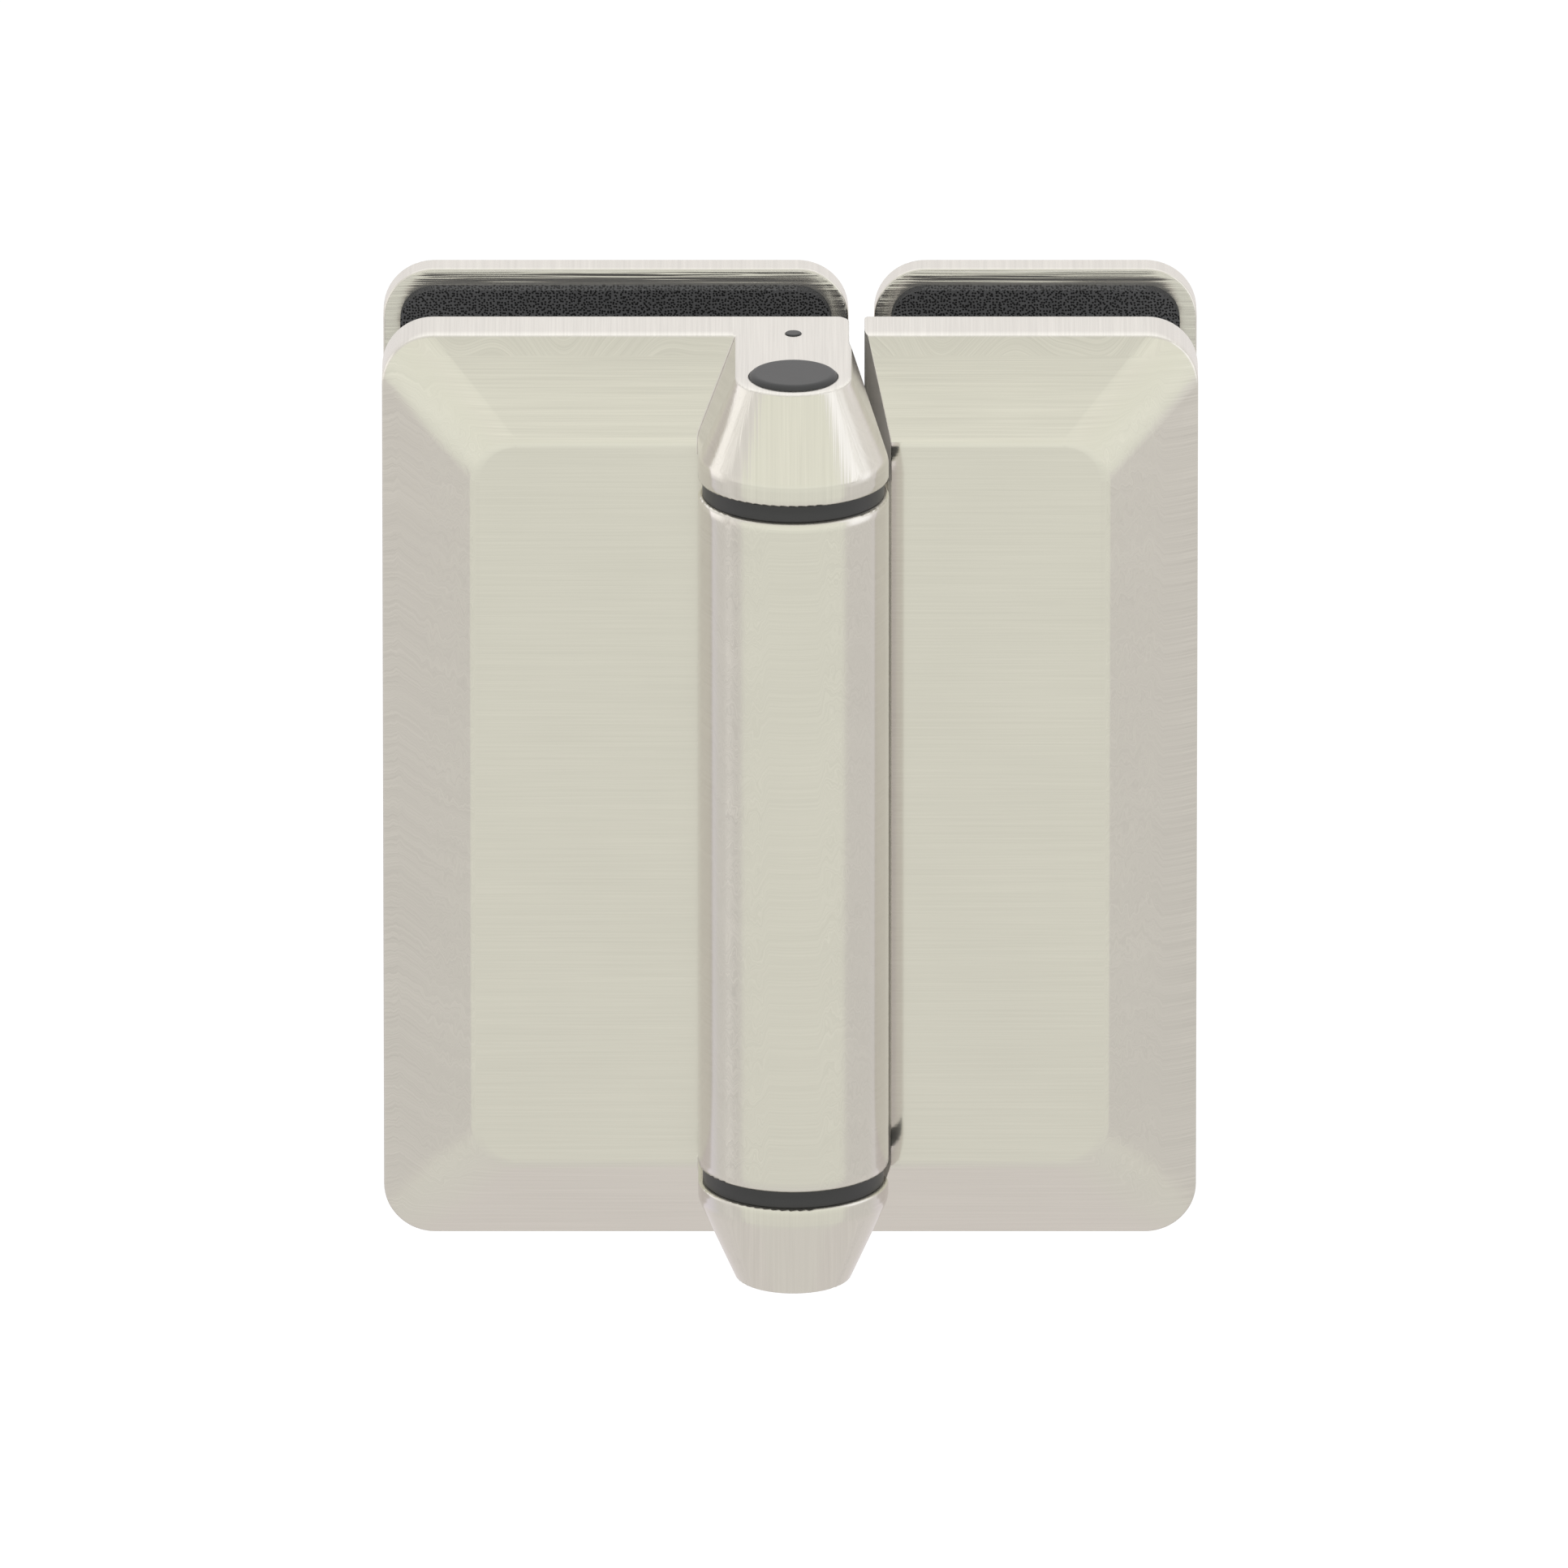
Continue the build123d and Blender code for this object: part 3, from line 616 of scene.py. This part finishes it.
def leaf_look(tree, soft_edge, limit):
    """What both leaves have: strokes that rise and fall, rolled edges, and flanks tinted with a painted
    reflection.

    The flanks lie ahead of the limit.
    """
    rise, stress = leaf_strokes(tree)
    # Painted reflection: the flanks get a pinkish tint instead of the plain steel colour
    flanks = mix_colour(tree, flank_mask(tree, limit), STEEL_COLOUR, FLANK_PAINTED_REFLECTION)
    return {"rise": rise, "stress": stress, "roll": rolled_edges(tree, soft_edge), "steel": flanks}


def fixed_leaf_look(tree, soft_edge, strokes):
    """The leaf with the knuckles, whose noses have wider upright strokes, deeper on their cones."""
    look = leaf_look(tree, soft_edge, RIM_FRONT)
    noses = nose_mask(tree)
    set_input(tree, strokes.inputs["Shift"], look["rise"])
    set_input(tree, strokes.inputs["Upward"], noses)
    set_input(tree, strokes.inputs["Stroke Width"], add_share(tree, STROKE_WIDTH, noses, NOSE_STROKES_WIDER))
    cones = product(tree, noses, step_up(tree, absolute(tree, normal_of(tree)["Z"]), *CONE_NORMAL))
    look["depth"] = product(tree, add_share(tree, 1.0, cones, CONE_STROKES_DEEPER), STROKE_DEPTH)
    ends = knuckle_end_roll(tree, soft_edge)
    rings = ring_roll(tree, soft_edge, KNUCKLE_FACES, *KNUCKLE_RING_ROLL)
    look["roll"] = total(tree, look["roll"], ends, rings)
    look["edge"] = knuckle_edges(tree)
    return look


def knuckle_edges(tree):
    """Radius of the rounded edges, which is 0 in the sharp inner corner beside the knuckles."""
    position = position_of(tree)
    corner = product(
        tree,
        between(tree, position["X"], -BARREL_REACH, -0.9 * KNUCKLE_TOP_HALF),
        calc(tree, "GREATER_THAN", position["Y"], PLATEAU - 0.3 * MM),
        calc(tree, "LESS_THAN", absolute(tree, position["Z"]), TOP_LEVEL - 0.6 * MM),
    )
    return add_share(tree, EDGE_ROUNDING, corner, -EDGE_ROUNDING)


def gate_leaf_look(tree, soft_edge, strokes):
    """The leaf with the barrel: chevrons on the barrel, and a dull slant beside the gap, darkened with
    painted shade.
    """
    look = leaf_look(tree, soft_edge, BEFORE_PLATEAU)
    position = position_of(tree)
    normal = normal_of(tree)
    ahead = calc(tree, "LESS_THAN", position["Y"], BEFORE_PLATEAU)
    chevrons = product(tree, between(tree, normal["X"], *CHEVRON_NORMAL), ahead)
    from_middle = absolute(tree, in_mm(tree, position["X"], CHEVRON_MIDDLE))
    bent = add_share(tree, look["rise"], chevrons, product(tree, from_middle, CHEVRON_RISE))
    set_input(tree, strokes.inputs["Shift"], bent)
    look["stress"] = add_share(tree, look["stress"], chevrons, CHEVRON_STRESS)

    behind = calc(tree, "GREATER_THAN", position["Y"], PLATEAU - 0.05 * MM)
    slant = product(tree, step_up(tree, normal["X"], *SLANT_NORMAL), behind)
    deep = step_up(tree, position["Y"], *SHADOW_DEPTHS)
    look["metallic"] = add_share(tree, 1.0, slant, -SLANT_DULLNESS)
    look["roughness"] = add_share(tree, PLAIN_LOOK["roughness"], slant, SLANT_ROUGHER)
    # Painted shade: the slant's colour is darkened, most where it lies deep in the gap
    look["shadow"] = add_share(tree, 1.0, product(tree, slant, deep), -SLANT_SHADOW)
    look["roll"] = total(tree, look["roll"], ring_roll(tree, soft_edge, BARREL_ENDS, *BARREL_RING_ROLL))
    return look


def beyond_corner(tree, value, middle, half):
    """Millimetres beyond the centre of a plate's nearest corner, along one axis."""
    from_middle = absolute(tree, in_mm(tree, value, middle))
    return calc(tree, "SUBTRACT", from_middle, half / MM - PLATE_CORNER)


def back_plate_look(tree, soft_edge, strokes, piece):
    """A back plate: long coarse strokes, and a front that rolls off unevenly from stroke to stroke."""
    width, length = PLATE_STROKES
    set_input(tree, strokes.inputs["Stroke Width"], width)
    set_input(tree, strokes.inputs["Stroke Length"], length)
    position = position_of(tree)
    low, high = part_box(piece)
    centre = (low + high) / 2
    half = (high - low) / 2
    over_x = beyond_corner(tree, position["X"], centre.x, half.x)
    over_z = beyond_corner(tree, position["Z"], centre.z, half.z)
    round_corner = hypotenuse(tree, calc(tree, "MAXIMUM", over_x, 0.0), calc(tree, "MAXIMUM", over_z, 0.0))
    straight = calc(tree, "MINIMUM", calc(tree, "MAXIMUM", over_x, over_z), 0.0)
    inside = calc(tree, "SUBTRACT", PLATE_CORNER, total(tree, round_corner, straight))
    uneven = add_share(tree, inside, strokes.outputs["Tone"], PLATE_JITTER)
    to_side = step_up(tree, calc(tree, "SUBTRACT", over_x, over_z), *PLATE_CORNERS)
    rolls = [
        roll_off(tree, soft_edge, uneven, reach, mix_value(tree, to_side, slope, side_slope))
        for reach, slope, side_slope in (PLATE_LIP, PLATE_ROLL)
    ]
    to_front = calc(tree, "LESS_THAN", normal_of(tree)["Y"], PLATE_FRONT_NORMAL)
    return {
        "roll": product(tree, total(tree, *rolls), to_front),
        "depth": product(tree, mix_value(tree, to_side, *PLATE_STROKE_DEPTHS), STROKE_DEPTH),
        "metallic": add_share(tree, 1.0, to_front, -PLATE_DULLNESS),
        "roughness": PLATE_ROUGHNESS,
    }


# ---- materials ----------------------------------------------------------------------------------------
MACHINED_COLOUR = (0.56, 0.56, 0.55, 1)
WIRE_COLOUR = (0.16, 0.16, 0.17, 1)
FOAM_COLOUR = (0.168, 0.168, 0.172, 1)
CELL_COLOUR = (0.014, 0.014, 0.015, 1)
# Darker colour of the foam's top and side faces: partly its cut faces, partly painted shade
CUT_AND_SHADE_COLOUR = (0.020, 0.020, 0.020, 1)
CELL_SIZE = 0.37                # foam cells, mm
CELL_WALL = (0.26, 0.42)        # where a cell ends and the skin begins, in cells from its middle
PEBBLES = 9000.0                # plastic's fine bumps per metre
TOOL_RINGS = (60.0, 60.0, 5000.0)   # changes per metre
FINE_BUMP = 0.003 * MM          # depth of both


def brushed_steel(name, groups, piece):
    """Satin-brushed steel, for one of the leaves or the back plates."""
    material, tree = new_material(name)
    strokes = use_group(tree, groups["brushing"])
    shade = use_group(tree, groups["blotches"], Size=14.0, Amount=0.05)
    soft_edge = groups["soft_edge"]
    if piece == "fixed_leaf":
        look = fixed_leaf_look(tree, soft_edge, strokes)
    elif piece == "gate_leaf":
        look = gate_leaf_look(tree, soft_edge, strokes)
    else:
        look = back_plate_look(tree, soft_edge, strokes, piece)
    look = {**PLAIN_LOOK, **look}
    contrast = add_share(tree, STROKE_CONTRAST, strokes.outputs["Flat Top"], TOP_CONTRAST)
    contrast = total(tree, contrast, look["stress"])
    tone = add_share(tree, shade.outputs["Shade"], strokes.outputs["Tone"], contrast)
    # Painted shade where a look has it, as on the gate leaf's slant
    tone = product(tree, tone, look["shadow"])
    roughness = add_share(tree, look["roughness"], strokes.outputs["Tone"], STROKE_ROUGHNESS)
    height = add_share(tree, look["roll"], strokes.outputs["Height"], look["depth"])
    edges = rounded_edges(tree, look["edge"])
    finish_material(
        tree,
        Base_Color=tinted(tree, look["steel"], tone),
        Metallic=look["metallic"],
        Roughness=roughness,
        Normal=bumped(tree, Height=height, Strength=1.0, Distance=MM, Normal=edges),
    )
    return material


def machined_steel(name, blotches):
    """Turned steel with fine tool rings round the pivot axis."""
    material, tree = new_material(name)
    rings = stretched_noise(tree, coordinates(tree, "Object"), TOOL_RINGS)
    shade = use_group(tree, blotches, Size=6.0, Amount=0.06)
    finish_material(
        tree,
        Base_Color=tinted(tree, MACHINED_COLOUR, shade.outputs["Shade"]),
        Metallic=1.0,
        Roughness=add_share(tree, 0.20, rings, 0.16),
        Normal=bumped(tree, Height=rings, Strength=1.0, Distance=FINE_BUMP),
    )
    return material


def spring_wire(name, blotches):
    """Dark, oil-tempered wire."""
    material, tree = new_material(name)
    shade = use_group(tree, blotches, Size=2.0, Amount=0.35).outputs["Shade"]
    finish_material(
        tree,
        Base_Color=tinted(tree, WIRE_COLOUR, shade),
        Metallic=1.0,
        Roughness=product(tree, shade, 0.34),
    )
    return material


def moulded_plastic(name, blotches, colour, roughness, gloss=0.5):
    """Plastic or solid rubber with a fine pebbled surface and rounded edges."""
    material, tree = new_material(name)
    shade = use_group(tree, blotches, Size=3.0, Amount=0.12)
    noise = {"Vector": coordinates(tree, "Object"), "Scale": PEBBLES, "Detail": 2.0}
    pebbles = add(tree, "ShaderNodeTexNoise", noise).outputs["Fac"]
    edges = rounded_edges(tree, 0.15 * MM)
    finish_material(
        tree,
        Base_Color=tinted(tree, (*colour, 1), shade.outputs["Shade"]),
        Roughness=add_share(tree, roughness - 0.05, pebbles, 0.10),
        Specular_IOR_Level=gloss,
        Normal=bumped(tree, Height=pebbles, Strength=1.0, Distance=FINE_BUMP, Normal=edges),
    )
    return material


def foam_rubber(name, blotches):
    """Closed-cell rubber foam: grey skin with small dark cells, darker on its top and side faces, partly for
    the cut and partly as painted shade.
    """
    material, tree = new_material(name)
    position = position_of(tree)
    normal = normal_of(tree)
    # On the cut sides, where one coordinate stands still, the depth takes its place.
    across = add_share(tree, position["X"], position["Y"], absolute(tree, normal["X"]))
    round_top = product(tree, position["Y"], absolute(tree, normal["Z"]))
    along = add_share(tree, position["Z"], round_top, 0.5)
    unrolled = add(tree, "ShaderNodeCombineXYZ", {"X": across, "Y": along})
    cells = add(
        tree,
        "ShaderNodeTexVoronoi",
        {"Vector": unrolled.outputs[0], "Scale": 1 / (CELL_SIZE * MM), "Randomness": 0.75},
        voronoi_dimensions="2D",
    )
    skin = step_up(tree, cells.outputs["Distance"], *CELL_WALL)
    shade = use_group(tree, blotches, Size=1.0, Amount=0.5)
    grey = tinted(tree, FOAM_COLOUR, shade.outputs["Shade"])
    colour = mix_colour(tree, skin, CELL_COLOUR, grey)
    # Top and side faces: cut foam, and painted shade that darkens them against the light from above
    cut = step_up(tree, absolute(tree, normal["Y"]), 0.6, 0.3)
    finish_material(
        tree,
        Base_Color=mix_colour(tree, product(tree, cut, 0.5), colour, CUT_AND_SHADE_COLOUR),
        Roughness=0.82,
        Specular_IOR_Level=0.25,
        Normal=bumped(tree, Height=skin, Strength=0.6, Distance=0.06 * MM),
    )
    return material


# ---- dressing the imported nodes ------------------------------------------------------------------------
groups = {"brushing": make_brushing(), "blotches": make_blotches(), "soft_edge": make_soft_edge()}
blotches = groups["blotches"]
finishes = {
    "machined_steel": machined_steel("machined", blotches),
    "spring_steel": spring_wire("spring_wire", blotches),
    "grey_plastic": moulded_plastic(
        "cap_plastic", blotches, colour=(0.070, 0.070, 0.071), roughness=0.42, gloss=0.20
    ),
    "black_plastic": moulded_plastic(
        "washer_plastic", blotches, colour=(0.070, 0.070, 0.073), roughness=0.45
    ),
    "sleeve_plastic": moulded_plastic("sleeve_plastic", blotches, colour=(0.55, 0.55, 0.53), roughness=0.40),
    "gasket_rubber": foam_rubber("gasket_foam", blotches),
    "seal_rubber": moulded_plastic("seal_rubber", blotches, colour=(0.020, 0.020, 0.021), roughness=0.55),
}
STEEL_PIECES = {
    "fixed_leaf": "knuckle_brushed",
    "gate_leaf": "gate_brushed",
    "fixed_back_plate": "fixed_plate_brushed",
    "gate_back_plate": "gate_plate_brushed",
}
steels = {piece: brushed_steel(name, groups, piece) for piece, name in STEEL_PIECES.items()}
for name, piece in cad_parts.items():
    for slot in piece.material_slots:
        slot.material = steels.get(name) or finishes[slot.material.name.split(".")[0]]


# ---- studio -------------------------------------------------------------------------------------------
def add_object(name, data):
    """An object in the scene that holds a mesh, a lamp or a camera."""
    made = bpy.data.objects.new(name, data)
    bpy.context.scene.collection.objects.link(made)
    return made


def direction(azimuth, elevation):
    """Unit vector from the hinge, by degrees from the front towards the gate leaf and above the horizon."""
    around = math.radians(azimuth)
    up = math.radians(elevation)
    return Vector((math.sin(around) * math.cos(up), -math.cos(around) * math.cos(up), math.sin(up)))


def light_tent():
    """Round tent that only mirror-like surfaces see: it gives the steel its soft zones."""
    corners = []
    glows = []
    for row in range(TENT_ROWS + 1):
        elevation = -90 + 180 * row / TENT_ROWS
        for column in range(TENT_COLUMNS):
            azimuth = -180 + 360 * column / TENT_COLUMNS
            corners.append(direction(azimuth, elevation) * TENT_RADIUS)
            glows.append(tent_glow(azimuth, elevation))
    panels = []
    for row in range(TENT_ROWS):
        for column in range(TENT_COLUMNS):
            beside = (column + 1) % TENT_COLUMNS
            low = row * TENT_COLUMNS
            high = low + TENT_COLUMNS
            panels.append((low + column, low + beside, high + beside, high + column))
    mesh = bpy.data.meshes.new("light_tent")
    mesh.from_pydata(corners, [], panels)
    glow = mesh.attributes.new("glow", "FLOAT_COLOR", "POINT")
    for index, colour in enumerate(glows):
        glow.data[index].color = (*colour, 1)
    tent = add_object("light_tent", mesh)
    material, tree = new_material("tent_cloth")
    seen = add(tree, "ShaderNodeAttribute", attribute_name="glow")
    light = add(tree, "ShaderNodeEmission", {"Color": seen.outputs["Color"], "Strength": 1.0})
    add(tree, "ShaderNodeOutputMaterial", {"Surface": light.outputs[0]})
    material.cycles.emission_sampling = "NONE"
    mesh.materials.append(material)
    tent.visible_camera = False
    tent.visible_diffuse = False
    tent.visible_shadow = False
    tent.visible_transmission = False


def background_seen(tree):
    """1 for rays that should meet the white background: straight, mirrored or through glass."""
    rays = add(tree, "ShaderNodeLightPath")
    seen = calc(tree, "MAXIMUM", rays.outputs["Is Camera Ray"], rays.outputs["Is Glossy Ray"])
    return calc(tree, "MAXIMUM", seen, rays.outputs["Is Transmission Ray"])


def pale_floor():
    """Plain pale floor, white where nothing shades it and open when seen from below."""
    half = FLOOR_SIZE / 2
    mesh = bpy.data.meshes.new("floor")
    sides = ((-half, -half), (half, -half), (half, half), (-half, half))
    mesh.from_pydata([(x, y, FLOOR_LEVEL) for x, y in sides], [], [(0, 1, 2, 3)])
    floor = add_object("floor", mesh)
    material, tree = new_material("floor_paint")
    matt = add(tree, "ShaderNodeBsdfDiffuse", {"Color": FLOOR_COLOUR})
    lift = add(tree, "ShaderNodeEmission", {"Color": (1, 1, 1, 1)})
    set_input(tree, lift.inputs["Strength"], calc(tree, "MULTIPLY", background_seen(tree), FLOOR_LIFT))
    both = add(tree, "ShaderNodeAddShader", {0: matt.outputs[0], 1: lift.outputs[0]})
    side = add(tree, "ShaderNodeNewGeometry")
    clear = add(tree, "ShaderNodeBsdfTransparent")
    shown = add(
        tree,
        "ShaderNodeMixShader",
        {0: side.outputs["Backfacing"], 1: both.outputs[0], 2: clear.outputs[0]},
    )
    add(tree, "ShaderNodeOutputMaterial", {"Surface": shown.outputs[0]})
    material.cycles.emission_sampling = "NONE"
    mesh.materials.append(material)


def room_light():
    """White background, and an even fill for matt surfaces."""
    world = bpy.data.worlds.new("room")
    bpy.context.scene.world = world
    world.use_nodes = True
    tree = world.node_tree
    tree.nodes.clear()
    strength = mix_value(tree, background_seen(tree), ROOM_LEVEL, 1.0)
    background = add(tree, "ShaderNodeBackground", {"Color": (1, 1, 1, 1), "Strength": strength})
    add(tree, "ShaderNodeOutputWorld", {"Surface": background.outputs[0]})


def top_light():
    """Square lamp over the hinge, a little to the front, that mirror-like surfaces don't see."""
    lamp = bpy.data.lights.new("top_light", "AREA")
    lamp.shape = "SQUARE"
    lamp.size = TOP_LIGHT_SIZE
    lamp.energy = TOP_LIGHT_POWER
    made = add_object("top_light", lamp)
    made.location = (0, -TOP_LIGHT_FORWARD, TOP_LIGHT_HEIGHT)
    made.rotation_euler = made.location.to_track_quat("Z", "Y").to_euler()
    made.visible_glossy = False


def camera():
    """Long lens from the front and above, level with the horizon."""
    width = cad_high.x - cad_low.x
    height = cad_high.z - cad_low.z
    centre = (cad_low + cad_high) / 2
    aim = Vector((centre.x + AIM_ASIDE * width, 0, centre.z + AIM_UP * height))
    data = bpy.data.cameras.new("camera")
    data.sensor_width = SENSOR
    data.lens = SENSOR * CAMERA_DISTANCE / (VIEW_WIDTH * width)
    data.clip_start, data.clip_end = CLIPPING
    made = add_object("camera", data)
    made.location = aim + direction(0, CAMERA_ELEVATION) * CAMERA_DISTANCE
    made.rotation_euler = (math.radians(90 - CAMERA_ELEVATION), 0, 0)
    bpy.context.scene.camera = made


light_tent()
pale_floor()
room_light()
top_light()
camera()
bpy.context.scene.view_settings.view_transform = "Standard"
